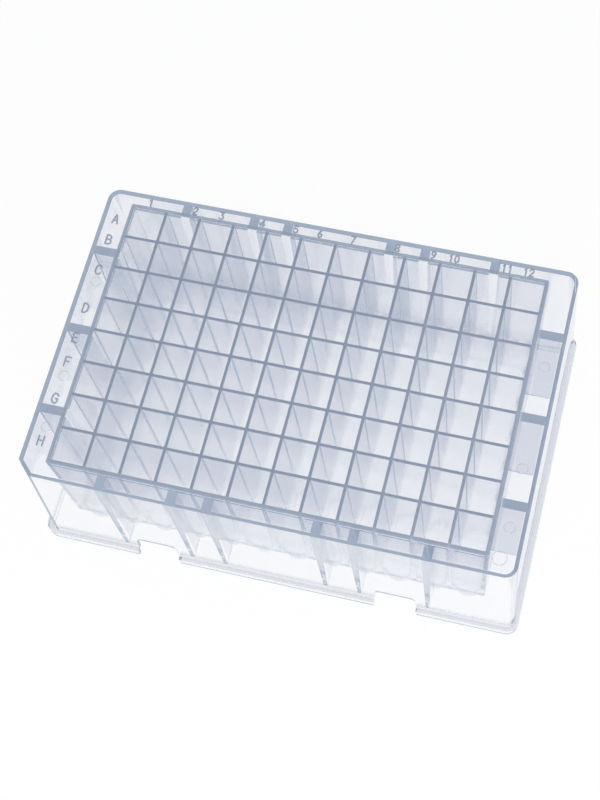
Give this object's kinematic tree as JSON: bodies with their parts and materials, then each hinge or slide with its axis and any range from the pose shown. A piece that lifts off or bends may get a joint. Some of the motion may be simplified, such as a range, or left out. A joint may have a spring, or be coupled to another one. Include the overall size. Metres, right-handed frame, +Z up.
{
  "type": "deep well plate",
  "caption": "Clear deep-well plate with a grid of square, round-bottomed wells, a ribbed skirt and a stepped foot.",
  "frame": {"origin": "centre of the base, on the surface the plate stands on", "axes": "+Z up through the well mouths, +X along the rows from column 1 to column 12, +Y towards row A"},
  "size_m": [0.1278, 0.0854, 0.044],
  "materials": {
    "clear_polypropylene": "natural polypropylene, clear with a faint blue-grey haze, smooth moulded faces"
  },
  "bodies": {
    "root": {"well_plate": "clear_polypropylene"}
  },
  "joints": []
}
